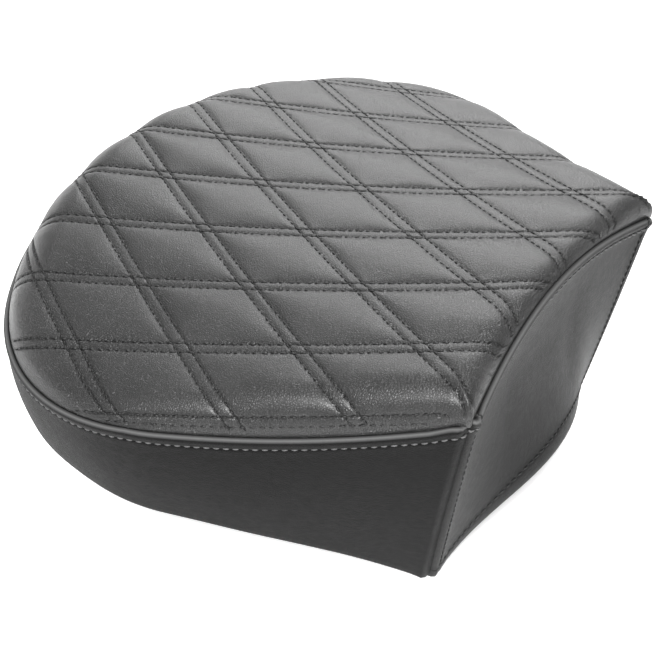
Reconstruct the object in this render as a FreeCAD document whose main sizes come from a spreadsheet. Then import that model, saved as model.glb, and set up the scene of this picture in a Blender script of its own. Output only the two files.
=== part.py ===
import FreeCAD, Part
import os
from math import asin, atan2, cos, pi, sin, sqrt

import Sketcher

# Detachable passenger pad of a motorcycle seat, in millimetres.
# +X points to the front of the motorcycle, +Y to its left and +Z up. The origin is under
# the middle of the pad, on the plane that its front corners and rear edge stand on.
#
# The pad is a stack: a felt liner, a moulded pan, a block of foam, a thin quilted layer
# and a sewn vinyl cover. Its underside follows a fender, which is a drum with a crowned
# ring round it, and its top is a saddle, dished fore and aft and crowned across.

X_DIR = FreeCAD.Vector(1, 0, 0)
Y_DIR = FreeCAD.Vector(0, 1, 0)
Z_DIR = FreeCAD.Vector(0, 0, 1)

SIZES = {
    # The fender that the underside follows.
    "axle_x": 14.0,
    "axle_z": -341.33,
    "fender_radius": 370.0,
    "crown_radius": 94.0,
    "crown_rise": 48.0,
    "form_width": 440.0,
    # The saddle of the top.
    "saddle_x": -216.6,
    "saddle_z": 1159.9,
    "dish_radius": 1060.0,
    "saddle_crown": 900.0,
    # The surface that the seam round the top lies on.
    "seam_x": -304.9,
    "seam_z": 1421.0,
    "seam_radius": 1360.0,
    "seam_hump": 18.4,
    "seam_hump_half": 95.0,
    "seam_hump_back": 70.0,
    # The plan outline, at four levels.
    "widest_x": -17.5,
    "side_radius": 110.0,
    "corner_x": 154.5,
    "hem_level": -15.0,
    "hem_rear": 122.0,
    "hem_width": 153.0,
    "hem_corner": 84.0,
    "hem_front": 184.5,
    "belly_level": 45.0,
    "belly_rear": 136.0,
    "belly_width": 173.0,
    "belly_corner": 88.0,
    "belly_front": 172.5,
    "waist_level": 100.0,
    "waist_rear": 130.0,
    "waist_width": 177.5,
    "waist_corner": 92.0,
    "waist_front": 150.0,
    "brow_level": 180.0,
    "brow_rear": 126.0,
    "brow_width": 174.0,
    "brow_corner": 98.0,
    "brow_front": 152.0,
    # Layers.
    "cover_gauge": 2.5,
    "quilt_gauge": 6.0,
    "pan_gauge": 4.0,
    "pan_setback": 5.0,
    "rim_gauge": 3.0,
    "rim_rise": 18.0,
    "flange": 20.0,
    "liner_gap": 2.0,
    "edge_round": 13.0,
    # Brackets: straps of strip steel that follow the fender's crown.
    "strap_gauge": 3.0,
    "strap_corner": 9.0,
    "stud_hole": 4.2,
    "rear_strap_width": 26.0,
    "rear_strap_tip": -172.7,
    "rear_strap_root": -72.0,
    "rear_hole_x": -162.5,
    "front_strap_width": 40.0,
    "front_strap_tip": 150.0,
    "front_strap_root": 58.0,
    "front_hole_x": 137.0,
    "stud_well": 7.0,
    "stud_well_depth": 18.0,
    # Rivets and washers of the rear bracket.
    "rivet_first_x": -124.0,
    "rivet_pitch": 19.0,
    "rivet_shank": 2.0,
    "rivet_head": 4.0,
    "rivet_head_height": 1.4,
    "rivet_tail": 3.2,
    "rivet_tail_height": 2.0,
    "rivet_washer": 6.0,
    "washer_gauge": 1.2,
    # Bolts, washers and tee nuts of the front bracket.
    "bolt_first_x": 76.0,
    "bolt_pitch": 30.0,
    "bolt_shank": 2.95,
    "bolt_head": 5.25,
    "bolt_head_height": 3.3,
    "bolt_washer": 7.5,
    "tee_bore": 3.05,
    "tee_barrel": 4.0,
    "tee_flange": 8.5,
    # Rubber bumpers.
    "bumper_front_x": 104.0,
    "bumper_rear_x": -88.0,
    "bumper_side": 55.0,
    "bumper_radius": 10.0,
    "bumper_face": 8.5,
    "bumper_height": 9.0,
    "bumper_bevel": 1.5,
    "bumper_stem": 3.0,
    "bumper_barb": 5.0,
    "bumper_barb_height": 2.5,
    # Staples.
    "staple_inset": 11.0,
    "staple_pitch": 21.0,
    "staple_crown": 10.0,
    "staple_leg": 5.0,
    "staple_wire": 0.8,
    "running_gap": 0.1,
    "seating_gap": 0.4,
    "head_room": 4.0,
    "pocket_gap": 1.0,
}
LEVELS = ("hem", "belly", "waist", "brow")
RIVETS = 3
BOLTS = 2
CORNER_SHARE = 0.58  # how far a corner moves sideways as the outline moves in by 1
UPRIGHT = 0.99  # an edge whose direction has at least this Z component is upright

doc = FreeCAD.newDocument("passenger_pad")
parts = []


def make_sheet():
    """The driving dimensions, one row each: a label, a plain number and its alias."""
    sheet = doc.addObject("Spreadsheet::Sheet", "Sizes")
    for row, (alias, value) in enumerate(SIZES.items(), start=1):
        sheet.set(f"A{row}", alias)
        sheet.set(f"B{row}", str(value))
        sheet.setAlias(f"B{row}", alias)
    doc.recompute()
    return sheet


sizes = make_sheet()


def size(alias):
    return float(sizes.get(alias))


def vector(x=0.0, y=0.0, z=0.0):
    return FreeCAD.Vector(x, y, z)


def new(kind, name, placement=None, **bound):
    """An object whose properties are bound to expressions, or to plain values."""
    thing = doc.addObject(kind, name)
    for key, value in bound.items():
        if isinstance(value, str):
            thing.setExpression(key, value)
        else:
            setattr(thing, key, value)
    if placement is not None:
        thing.Placement = placement
    return thing


def cut(name, base, tool):
    return new("Part::Cut", name, Base=base, Tool=tool)


def common(name, base, tool):
    return new("Part::Common", name, Base=base, Tool=tool)


def fuse(name, *shapes):
    return new("Part::MultiFuse", name, Shapes=list(shapes))


def keep(thing, node):
    """Marks an object as one finished sub-part."""
    thing.Label = node
    parts.append(thing)
    return thing


# ---- The plan outline ------------------------------------------------------------------


def outline_points(level, inset):
    """The outline's points and centres at one level, the inset in millimetres."""
    rear = size(f"{level}_rear") - inset
    width = size(f"{level}_width") - inset
    side = size("side_radius") - inset
    corner_x = size("corner_x") - inset
    corner_y = size(f"{level}_corner") - CORNER_SHARE * inset
    front = size(f"{level}_front") - inset
    widest = size("widest_x")
    side_y = width - side
    rear_radius = (rear**2 - side**2 + side_y**2) / (2 * (rear - side))
    rear_centre = vector(widest - rear + rear_radius)
    side_centre = vector(widest, side_y)
    joint = side_centre + (side_centre - rear_centre).normalize() * side
    to_corner = vector(corner_x, corner_y) - side_centre
    reach = to_corner.Length
    lean = atan2(to_corner.y, to_corner.x) + asin(sqrt(1 - (side / reach) ** 2))
    touch = side_centre + vector(cos(lean), sin(lean)) * side
    corner = vector(corner_x, corner_y)
    middle = vector(front)
    return rear_centre, rear_radius, side_centre, side, joint, touch, corner, middle


def mirrored(point):
    return vector(point.x, -point.y, point.z)


def arc(centre, start, end):
    """An arc of a circle, drawn counter-clockwise from one point to another."""
    first = atan2(start.y - centre.y, start.x - centre.x)
    last = atan2(end.y - centre.y, end.x - centre.x)
    if last < first:
        last += 2 * pi
    circle = Part.Circle(centre, Z_DIR, (start - centre).Length)
    return Part.ArcOfCircle(circle, first, last)


def outline_sketch(name, level, insets):
    """A closed outline of four arcs and two straight sides, symmetric about X.

    It is drawn inside the pad's outer form by the sum of the insets, given by alias.
    """
    distance = sum(size(alias) for alias in insets)
    inset = "".join(f" + Sizes.{alias}" for alias in insets)
    found = outline_points(level, distance)
    rear_centre, rear_radius, side_centre, side, joint, touch, corner, middle = found
    depth = middle.x - corner.x
    front_radius = (corner.y**2 + depth**2) / (2 * abs(depth))
    convex = depth > 0
    front_centre = vector(middle.x - front_radius if convex else middle.x + front_radius)
    front_ends = (mirrored(corner), corner) if convex else (corner, mirrored(corner))
    sketch = doc.addObject("Sketcher::SketchObject", name)
    geometry = [
        arc(rear_centre, joint, mirrored(joint)),
        arc(side_centre, touch, joint),
        arc(mirrored(side_centre), mirrored(joint), mirrored(touch)),
        Part.LineSegment(corner, touch),
        Part.LineSegment(mirrored(touch), mirrored(corner)),
        arc(front_centre, *front_ends),
    ]
    for curve in geometry:
        sketch.addGeometry(curve, False)
    rear, left, right, left_line, right_line, front = range(6)
    start, end, centre = 1, 2, 3
    front_left, front_right = (end, start) if convex else (start, end)
    rules = [
        ("Tangent", rear, start, left, end),
        ("Tangent", rear, end, right, start),
        ("Tangent", left, start, left_line, end),
        ("Tangent", right, end, right_line, start),
        ("Coincident", left_line, start, front, front_left),
        ("Coincident", right_line, end, front, front_right),
        ("Symmetric", left, centre, right, centre, -1),
        ("Symmetric", left_line, start, right_line, end, -1),
        ("Equal", left, right),
    ]
    for rule in rules:
        sketch.addConstraint(Sketcher.Constraint(*rule))
    less = f" - (0{inset})"
    less_y = f" - {CORNER_SHARE} * (0{inset})"
    reach = f"(Sizes.{level}_rear{less})"
    bend = f"(Sizes.side_radius{less})"
    rise = f"(Sizes.{level}_width - Sizes.side_radius)"
    depth = f"(Sizes.{level}_front - Sizes.corner_x)"
    half = f"(Sizes.{level}_corner{less_y})"
    dimensions = [
        ("side_radius", ("Radius", left, side), bend),
        (
            "rear_radius",
            ("Radius", rear, rear_radius),
            f"({reach}^2 - {bend}^2 + {rise}^2) / (2 * ({reach} - {bend}))",
        ),
        ("side_x", ("DistanceX", -1, 1, left, centre, side_centre.x), "Sizes.widest_x"),
        ("side_y", ("DistanceY", -1, 1, left, centre, side_centre.y), rise),
        ("corner_x", ("DistanceX", -1, 1, left_line, start, corner.x), f"Sizes.corner_x{less}"),
        ("corner_y", ("DistanceY", -1, 1, left_line, start, corner.y), half),
        (
            "front_radius",
            ("Radius", front, front_radius),
            f"({half}^2 + {depth}^2) / (2 * abs{depth})",
        ),
    ]
    for label, rule, expression in dimensions:
        index = sketch.addConstraint(Sketcher.Constraint(*rule))
        sketch.renameConstraint(index, label)
        sketch.setExpression(f"Constraints.{label}", expression)
    sketch.setExpression("Placement.Base.z", f"Sizes.{level}_level")
    return sketch


def block(name, *insets):
    """The pad's upright outer form, or one that lies the insets inside it."""
    sections = [outline_sketch(f"{name}_{level}", level, insets) for level in LEVELS]
    return new("Part::Loft", name, Sections=sections, Solid=True, Ruled=False)


# ---- The fender, the saddle and the seam -------------------------------------------------


def lying_along_y(x, z, start=0.0):
    """A placement that lays an object's own Z axis along Y."""
    turn = FreeCAD.Rotation(X_DIR, -90)
    return FreeCAD.Placement(vector(x, start, z), turn)


def fender_form(name, depth):
    """Everything below the underside, moved out by a depth."""
    x, z = size("axle_x"), size("axle_z")
    drum = new(
        "Part::Cylinder",
        f"{name}_drum",
        lying_along_y(x, z, -size("form_width") / 2),
        Radius=f"Sizes.fender_radius + {depth}",
        Height="Sizes.form_width",
    )
    crown = new(
        "Part::Torus",
        f"{name}_crown",
        lying_along_y(x, z),
        Radius1="Sizes.fender_radius + Sizes.crown_rise - Sizes.crown_radius",
        Radius2=f"Sizes.crown_radius + {depth}",
    )
    return fuse(name, drum, crown)


def saddle_form(name, depth):
    """Everything below the top's saddle, sunk by a depth."""
    return new(
        "Part::Torus",
        name,
        lying_along_y(size("saddle_x"), size("saddle_z")),
        Radius1="Sizes.dish_radius + Sizes.saddle_crown",
        Radius2=f"Sizes.saddle_crown - {depth}",
    )


def seam_form():
    """Everything above the seam: a dished drum, less a hump behind the front edge."""
    x, z = size("seam_x"), size("seam_z")
    drum = new(
        "Part::Cylinder",
        "seam_drum",
        lying_along_y(x, z, -size("form_width") / 2),
        Radius="Sizes.seam_radius",
        Height="Sizes.form_width",
    )
    bend = "(Sizes.seam_hump_half^2 + Sizes.seam_hump^2) / (2 * Sizes.seam_hump)"
    ring = new(
        "Part::Torus",
        "seam_ring",
        lying_along_y(x, z),
        Radius1=f"Sizes.seam_radius - Sizes.seam_hump + {bend}",
        Radius2=bend,
    )
    room = new(
        "Part::Box",
        "seam_hump_room",
        Length="Sizes.form_width",
        Width="Sizes.form_width",
        Height="Sizes.form_width",
    )
    room.setExpression("Placement.Base.x", "Sizes.seam_hump_back")
    room.setExpression("Placement.Base.y", "-Sizes.form_width / 2")
    return cut("above_seam", drum, common("seam_hump_form", ring, room))


def rounded(name, base, radius):
    """A fillet on every edge of the saddle face, where the top turns down."""
    doc.recompute()
    saddle = [f for f in base.Shape.Faces if isinstance(f.Surface, Part.Toroid)]
    rim = [edge for face in saddle for edge in face.Edges]
    edges = []
    for index, edge in enumerate(base.Shape.Edges, start=1):
        if any(edge.isSame(other) for other in rim):
            edges.append((index, radius, radius))
    return new("Part::Fillet", name, Base=base, Edges=edges)


# ---- Places on the fender's crown --------------------------------------------------------


def crown_place(x, y, height):
    """A placement on the crown under (x, y), its Z axis along the surface's normal."""
    tilt = asin(y / size("crown_radius"))
    ring = size("fender_radius") + size("crown_rise") - size("crown_radius")
    radius = size("crown_radius") + height
    arm = ring + radius * cos(tilt)
    turn = asin((x - size("axle_x")) / arm)
    spot = vector(
        size("axle_x") + arm * sin(turn),
        radius * sin(tilt),
        size("axle_z") + arm * cos(turn),
    )
    normal = vector(sin(turn) * cos(tilt), sin(tilt), cos(turn) * cos(tilt))
    return FreeCAD.Placement(spot, FreeCAD.Rotation(Z_DIR, normal))


def copies(name, model, places):
    """Identical solids of one model at several places, as one group."""
    group = doc.addObject("Part::Feature", name)
    shapes = []
    for place in places:
        shape = model.Shape.copy()
        shape.Placement = place.multiply(shape.Placement)
        shapes.append(shape)
    group.Shape = Part.makeCompound(shapes)
    return group


def disc(name, radius, low, high):
    """An upright cylinder from one height to another, all three as expressions."""
    thing = new("Part::Cylinder", name, Radius=radius, Height=f"({high}) - ({low})")
    thing.setExpression("Placement.Base.z", low)
    return thing


STRAP_UNDER = "-Sizes.strap_gauge"
PAN_UNDER = "Sizes.cover_gauge"
PAN_TOP = "Sizes.cover_gauge + Sizes.pan_gauge"
WASHER_TOP = f"{PAN_TOP} + Sizes.washer_gauge"


def rivet_places():
    xs = [size("rivet_first_x") + size("rivet_pitch") * i for i in range(RIVETS)]
    return [crown_place(x, 0, 0) for x in xs]


def bolt_places():
    xs = [size("bolt_first_x") + size("bolt_pitch") * i for i in range(BOLTS)]
    return [crown_place(x, 0, 0) for x in xs]


def bumper_places():
    places = {}
    for end in ("front", "rear"):
        for side, sign in (("left", 1), ("right", -1)):
            spot = crown_place(size(f"bumper_{end}_x"), sign * size("bumper_side"), 0)
            places[f"bumper_{end}_{side}"] = spot
    return places


# ---- Hardware ----------------------------------------------------------------------------


def make_rivet():
    seat = f"{STRAP_UNDER} - Sizes.running_gap"
    head = disc("rivet_head", "Sizes.rivet_head", f"{seat} - Sizes.rivet_head_height", seat)
    shank = disc("rivet_shank", "Sizes.rivet_shank", seat, WASHER_TOP)
    tail_top = f"{WASHER_TOP} + Sizes.rivet_tail_height"
    tail = disc("rivet_tail", "Sizes.rivet_tail", WASHER_TOP, tail_top)
    return fuse("rivet", head, shank, tail)


def make_rivet_washer():
    plate = disc("rivet_washer_plate", "Sizes.rivet_washer", PAN_TOP, WASHER_TOP)
    hole = disc("rivet_washer_hole", "Sizes.rivet_shank + Sizes.running_gap", PAN_TOP, WASHER_TOP)
    return cut("rivet_washer", plate, hole)


BOLT_SEAT = f"{STRAP_UNDER} - Sizes.seating_gap - Sizes.washer_gauge"


def make_bolt():
    low = f"{BOLT_SEAT} - Sizes.bolt_head_height"
    head = disc("bolt_head", "Sizes.bolt_head", low, BOLT_SEAT)
    shank = disc("bolt_shank", "Sizes.bolt_shank", BOLT_SEAT, f"{WASHER_TOP} + Sizes.washer_gauge")
    return fuse("bolt", head, shank)


def make_bolt_washer():
    top = f"{STRAP_UNDER} - Sizes.seating_gap"
    plate = disc("bolt_washer_plate", "Sizes.bolt_washer", BOLT_SEAT, top)
    hole = disc("bolt_washer_hole", "Sizes.bolt_shank + Sizes.running_gap", BOLT_SEAT, top)
    return cut("bolt_washer", plate, hole)


def make_tee_nut():
    barrel = disc("tee_barrel", "Sizes.tee_barrel", f"{PAN_UNDER} + Sizes.running_gap", WASHER_TOP)
    flange = disc("tee_flange", "Sizes.tee_flange", PAN_TOP, WASHER_TOP)
    bore = disc("tee_bore", "Sizes.tee_bore", PAN_UNDER, WASHER_TOP)
    return cut("tee_nut", fuse("tee_body", barrel, flange), bore)


def make_strap(end, layer):
    """A strap with rounded ends, cut from the layer just under the liner."""
    tip, root = size(f"{end}_strap_tip"), size(f"{end}_strap_root")
    blank = new(
        "Part::Box",
        f"{end}_strap_blank",
        Length=f"abs(Sizes.{end}_strap_tip - Sizes.{end}_strap_root)",
        Width=f"Sizes.{end}_strap_width",
        Height="Sizes.form_width",
    )
    blank.setExpression("Placement.Base.x", f"Sizes.{end}_strap_{'tip' if tip < root else 'root'}")
    blank.setExpression("Placement.Base.y", f"-Sizes.{end}_strap_width / 2")
    doc.recompute()
    corner = size("strap_corner")
    edges = []
    for index, edge in enumerate(blank.Shape.Edges, start=1):
        if abs(edge.tangentAt(edge.FirstParameter).z) > UPRIGHT:
            edges.append((index, corner, corner))
    plate = new("Part::Fillet", f"{end}_strap_plate", Base=blank, Edges=edges)
    return common(f"{end}_strap_form", plate, layer)


def drill(name, base, radius, places):
    """Round holes along the crown's normal, right through the stack."""
    hole = disc(f"{name}_drill", radius, "-Sizes.bumper_height", "Sizes.bumper_height * 2")
    doc.recompute()
    return cut(name, base, copies(f"{name}_drills", hole, places))


def make_bumper(node, place, underside):
    """A bevelled rubber foot with a barbed stem that snaps through the pan."""
    foot = "-Sizes.bumper_height"
    bevel = new(
        "Part::Cone",
        f"{node}_bevel",
        Radius1="Sizes.bumper_face",
        Radius2="Sizes.bumper_radius",
        Height="Sizes.bumper_bevel",
    )
    bevel.setExpression("Placement.Base.z", foot)
    pad = disc(f"{node}_pad", "Sizes.bumper_radius", f"{foot} + Sizes.bumper_bevel", PAN_UNDER)
    pad_form = fuse(f"{node}_pad_form", bevel, pad)
    pad_form.Placement = place
    stem = disc(f"{node}_stem", "Sizes.bumper_stem", foot, PAN_TOP)
    barb_top = f"{PAN_TOP} + Sizes.bumper_barb_height"
    barb = disc(f"{node}_barb", "Sizes.bumper_barb", PAN_TOP, barb_top)
    stem_form = fuse(f"{node}_stem_form", stem, barb)
    stem_form.Placement = place
    fitted = common(f"{node}_fitted", pad_form, underside)
    return fuse(node, fitted, stem_form)


# ---- Staples -----------------------------------------------------------------------------


def make_staple():
    """A staple whose crown lies in the cover and whose legs point up into the pan."""
    half = "Sizes.staple_crown / 2"
    crown = new(
        "Part::Box",
        "staple_crown",
        Length="Sizes.staple_crown",
        Width="Sizes.staple_wire",
        Height="Sizes.staple_wire",
    )
    legs = []
    for name in ("staple_leg_a", "staple_leg_b"):
        leg = new(
            "Part::Box",
            name,
            Length="Sizes.staple_wire",
            Width="Sizes.staple_wire",
            Height="Sizes.staple_leg",
        )
        legs.append(leg)
    crown.setExpression("Placement.Base.x", f"-{half}")
    legs[0].setExpression("Placement.Base.x", f"-{half}")
    legs[1].setExpression("Placement.Base.x", f"{half} - Sizes.staple_wire")
    for box in (crown, *legs):
        box.setExpression("Placement.Base.y", "-Sizes.staple_wire / 2")
    return fuse("staple", crown, *legs)


def fender_height(x, y):
    """The underside's height at a place in plan."""
    out = x - size("axle_x")
    radius = size("fender_radius")
    if abs(y) < size("crown_radius"):
        ring = radius + size("crown_rise") - size("crown_radius")
        radius = max(radius, ring + sqrt(size("crown_radius") ** 2 - y**2))
    return size("axle_z") + sqrt(radius**2 - out**2)


def staple_places(outer):
    """Evenly spaced places inside the hem, split into front and side groups."""
    low, high = (section.Shape.Wires[0] for section in outer.Sections[:2])
    count = int(low.Length / size("staple_pitch"))
    rings = []
    for wire in (low, high):
        inner = wire.makeOffset2D(-size("staple_inset"))
        rings.append(inner.discretize(Number=count + 1)[:-1])
    rise = size("belly_level") - size("hem_level")
    points = []
    for under, over in zip(*rings):
        share = (fender_height(over.x, over.y) - size("hem_level")) / rise
        spot = under + (over - under) * share
        points.append(vector(spot.x, spot.y, fender_height(spot.x, spot.y)))
    fronts, sides = [], []
    for index, spot in enumerate(points):
        ahead = points[(index + 1) % count] - points[index - 1]
        turn = FreeCAD.Rotation(ahead, Y_DIR, Z_DIR, "XZY")
        in_front = spot.x > size("corner_x") - 2 * size("staple_inset")
        (fronts if in_front else sides).append(FreeCAD.Placement(spot, turn))
    return fronts, sides


# ---- Assembly ----------------------------------------------------------------------------


def mitre_form():
    """The wedge in front of the two corner edges, where the front panel is."""
    inner = outer = size("form_width") / len(LEVELS)
    sketches = []
    for level in (LEVELS[0], LEVELS[-1]):
        sketch = doc.addObject("Sketcher::SketchObject", f"mitre_{level}")
        x, y = size("corner_x"), size(f"{level}_corner")
        behind = min(inner, y - size("flange"))
        ring = [
            vector(x - behind, y - behind),
            vector(x - behind, behind - y),
            vector(x + outer, -y - outer),
            vector(x + outer, y + outer),
        ]
        for index, (start, end) in enumerate(zip(ring, ring[1:] + ring[:1])):
            sketch.addGeometry(Part.LineSegment(start, end), False)
            sketch.addConstraint(Sketcher.Constraint("Block", index))
        sketch.setExpression("Placement.Base.z", f"Sizes.{level}_level")
        sketches.append(sketch)
    return new("Part::Loft", "mitre", Sections=sketches, Solid=True, Ruled=True)


def make_forms(outer, underside):
    """The whole pad, the room inside its cover, and that room above the liner."""
    blank = common("blank", outer, saddle_form("top", "0"))
    whole = cut("whole", rounded("crest", blank, size("edge_round")), underside)
    inner = block("inner", "cover_gauge")
    hollow_blank = common("hollow_blank", inner, saddle_form("quilt_top", "Sizes.cover_gauge"))
    hollow = rounded("hollow", hollow_blank, size("edge_round") - size("cover_gauge"))
    core = cut("core", hollow, fender_form("liner_top", PAN_UNDER))
    return whole, hollow, core


def make_tray(core):
    """The pan before it is drilled: a floor that follows the fender, and a rim."""
    edge = block("pan_edge", "cover_gauge", "pan_setback")
    rim_top = fender_form("rim_top", f"{PAN_TOP} + Sizes.rim_rise")
    blank = common("tray_blank", common("tray_room", core, edge), rim_top)
    inside = block("rim", "cover_gauge", "pan_setback", "rim_gauge")
    return cut("tray", blank, cut("rim_hollow", inside, fender_form("pan_top", PAN_TOP)))


def make_staples(outer):
    """Both groups of staples, and the two together as one tool."""
    fronts, sides = staple_places(outer)
    staple = make_staple()
    doc.recompute()
    front_staples = keep(copies("front_staple_group", staple, fronts), "front_staples")
    side_staples = keep(copies("side_staple_group", staple, sides), "side_staples")
    return new("Part::Compound", "staples", Links=[front_staples, side_staples])


def make_covers(whole, hollow, core, staples):
    """The top cover, and the front and side covers turned in under the pan."""
    above_seam = seam_form()
    keep(cut("top_shell", common("top_blank", whole, above_seam), hollow), "top_cover")
    skirt = cut("skirt_blank", cut("lower_blank", whole, above_seam), core)
    skirt = cut("skirt", skirt, block("flange_edge", "flange"))
    skirt = cut("skirt_stapled", skirt, staples)
    mitre = mitre_form()
    keep(common("front_panel", skirt, mitre), "front_cover")
    keep(cut("side_panel", skirt, mitre), "side_cover")


def make_brackets(underside, places):
    """The two straps, drilled for the stud, and for the rivets or bolts."""
    layer = cut("strap_layer", underside, fender_form("strap_under", STRAP_UNDER))
    for end, tool, radius in (
        ("rear", "rivet", "Sizes.rivet_shank + Sizes.running_gap"),
        ("front", "bolt", "Sizes.tee_bore"),
    ):
        strap = make_strap(end, layer)
        strap = drill(f"{end}_stud", strap, "Sizes.stud_hole", places[f"{end}_stud"])
        keep(drill(f"{end}_{tool}", strap, radius, places[tool]), f"{end}_bracket")


def drill_board(name, board, places):
    """The holes that the pan and the liner share."""
    for tool, radius in (
        ("rivet", "Sizes.rivet_shank + Sizes.running_gap"),
        ("bolt", "Sizes.tee_barrel + Sizes.running_gap"),
        ("bumper", "Sizes.bumper_stem"),
        ("front_stud", "Sizes.stud_well"),
    ):
        board = drill(f"{name}_{tool}", board, radius, places[tool])
    return board


def make_liner(underside, places):
    room = fender_form("felt_top", PAN_UNDER)
    felt = common("felt_blank", block("felt_edge", "flange", "liner_gap"), room)
    keep(drill_board("felt", cut("felt", felt, underside), places), "pan_liner")


def make_foam(blank, places):
    """The foam block, with pockets over the hardware in the pan."""
    foam = blank
    head_room = f"{WASHER_TOP} + Sizes.head_room"
    for tool, radius, top in (
        ("rivet", "Sizes.rivet_washer + Sizes.pocket_gap", head_room),
        ("bolt", "Sizes.tee_flange + Sizes.pocket_gap", head_room),
        ("bumper", "Sizes.bumper_barb + Sizes.pocket_gap", head_room),
        ("front_stud", "Sizes.stud_well", "Sizes.stud_well_depth"),
    ):
        pocket = disc(f"{tool}_pocket", radius, "0", top)
        doc.recompute()
        foam = cut(f"foam_{tool}", foam, copies(f"{tool}_pockets", pocket, places[tool]))
    keep(foam, "foam_cushion")


def make_hardware(underside, places):
    models = {
        "rear_rivets": (make_rivet(), "rivet"),
        "rear_rivet_washers": (make_rivet_washer(), "rivet"),
        "front_bracket_bolts": (make_bolt(), "bolt"),
        "front_bracket_washers": (make_bolt_washer(), "bolt"),
        "front_tee_nuts": (make_tee_nut(), "bolt"),
    }
    doc.recompute()
    for node, (model, tool) in models.items():
        keep(copies(f"{node}_group", model, places[tool]), node)
    for node, place in bumper_places().items():
        keep(make_bumper(f"{node}_form", place, underside), node)


def build():
    outer = block("outer")
    underside = fender_form("underside", "0")
    whole, hollow, core = make_forms(outer, underside)
    doc.recompute()
    staples = make_staples(outer)
    make_covers(whole, hollow, core, staples)
    saddle = saddle_form("foam_top", "(Sizes.cover_gauge + Sizes.quilt_gauge)")
    keep(cut("quilt_form", hollow, saddle), "quilt_padding")

    places = {
        "rivet": rivet_places(),
        "bolt": bolt_places(),
        "bumper": list(bumper_places().values()),
        "rear_stud": [crown_place(size("rear_hole_x"), 0, 0)],
        "front_stud": [crown_place(size("front_hole_x"), 0, 0)],
    }
    tray = make_tray(core)
    keep(cut("pan_stapled", drill_board("pan", tray, places), staples), "base_pan")
    make_foam(cut("foam_blank", common("foam_room", core, saddle), tray), places)
    make_liner(underside, places)
    make_brackets(underside, places)
    make_hardware(underside, places)


def check():
    """Stops if any object failed or any sub-part isn't sound."""
    doc.recompute()
    for thing in doc.Objects:
        if {"Invalid", "Error"} & set(thing.State):
            raise RuntimeError(f"{thing.Label} failed: {thing.State}")
    for part in parts:
        shape = part.Shape
        if shape.isNull() or not shape.isValid() or not shape.Solids:
            raise RuntimeError(f"{part.Label} isn't a valid solid")


def export():
    os.makedirs("parts", exist_ok=True)
    for part in parts:
        part.Shape.exportStep(f"parts/{part.Label}.step")


build()
check()
export()
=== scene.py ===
"""Looks of the detachable passenger pad: quilted top, sewn side and front panels, thread
and the materials of the hardware underneath. Lengths are in millimetres until a mesh is made.
"""

import math

import bmesh
import bpy
import numpy as np
from mathutils import Matrix, Vector
from mathutils.geometry import delaunay_2d_cdt


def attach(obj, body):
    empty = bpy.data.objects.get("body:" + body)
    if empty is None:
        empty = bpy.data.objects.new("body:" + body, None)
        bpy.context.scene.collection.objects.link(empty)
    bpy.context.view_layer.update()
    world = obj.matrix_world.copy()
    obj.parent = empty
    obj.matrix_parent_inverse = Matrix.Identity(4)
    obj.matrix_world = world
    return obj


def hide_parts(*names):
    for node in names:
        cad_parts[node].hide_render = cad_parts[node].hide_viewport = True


MM = 0.001

# The fender under the pad, and the saddle of its top: both as in the CAD part.
AXLE_X, AXLE_Z = 14.0, -341.33
FENDER_RADIUS, CROWN_RADIUS, CROWN_RING = 370.0, 94.0, 324.0
SADDLE_X, SADDLE_Z = -216.6, 1159.9
SADDLE_RING, SADDLE_CROWN = 1960.0, 900.0

# The seam round the top, in plan: a half ellipse, two straight sides and a hollow front.
WIDEST_X, REAR, WIDTH = -17.5, 130.0, 177.0
CORNER_X, CORNER_Y, FRONT_X = 154.5, 95.0, 143.3
LIP_X = 173.5
SEAM_STEP = 1.0
OFF_EDGE = 20.0  # how far past the seam any surface is worked out

# The quilting: rows of twin stitching that cross in diamonds.
QUILT_X, DIAMOND_LENGTH, DIAMOND_WIDTH = 12.5, 101.3, 50.0
ROW_PITCH = 44.84  # between rows of one family, measured square to them
ROW_A, ROW_B = 4.5, 3.5  # each family's row number at QUILT_X on the centre line
FIRST_ROW, LAST_ROW = -1, 9
TWIN = 2.9  # from the middle of a twin row to either of its two lines
STITCH_PITCH, STITCH_LENGTH, THREAD_RADIUS = 4.7, 3.7, 0.5
PUFF_HEIGHT, GROOVE_DEPTH, GROOVE_WIDTH = 1.9, 0.6, 0.55
CLOTH_SHARE = 0.3  # of the padding's rise; the rest is an even pillow form
CLOTH_FRAMES, EASINGS = 20, 3
THREAD_PROUD = 0.22
SHORTEST_RUN = 8  # points of a stitch line
COVER = 1.3  # the thickness of the side and front panels
# Of a panel's grid: the crest of its folded edge, and the gaps at its top and its ends.
# The crest gets a painted highlight, and the gaps get painted shade.
HIGHLIGHT_ROWS = slice(3, 4)
SHADE_ROWS, SHADE_COLUMNS = 2, 3

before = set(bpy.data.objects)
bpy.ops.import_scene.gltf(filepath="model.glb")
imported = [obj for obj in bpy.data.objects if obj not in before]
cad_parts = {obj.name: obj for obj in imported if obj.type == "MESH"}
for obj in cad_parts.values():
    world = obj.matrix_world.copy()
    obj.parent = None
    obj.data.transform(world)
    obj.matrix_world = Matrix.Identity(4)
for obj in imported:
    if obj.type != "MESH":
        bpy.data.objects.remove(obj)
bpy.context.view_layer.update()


# ---- Meshes ------------------------------------------------------------------------------


def make_object(name, points, faces, material):
    mesh = bpy.data.meshes.new(name)
    mesh.from_pydata((np.asarray(points) * MM).tolist(), [], faces)
    mesh.validate()
    work = bmesh.new()
    work.from_mesh(mesh)
    bmesh.ops.recalc_face_normals(work, faces=work.faces)
    work.to_mesh(mesh)
    work.free()
    mesh.polygons.foreach_set("use_smooth", [True] * len(mesh.polygons))
    mesh.materials.append(material)
    thing = bpy.data.objects.new(name, mesh)
    bpy.context.scene.collection.objects.link(thing)
    return thing


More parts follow.
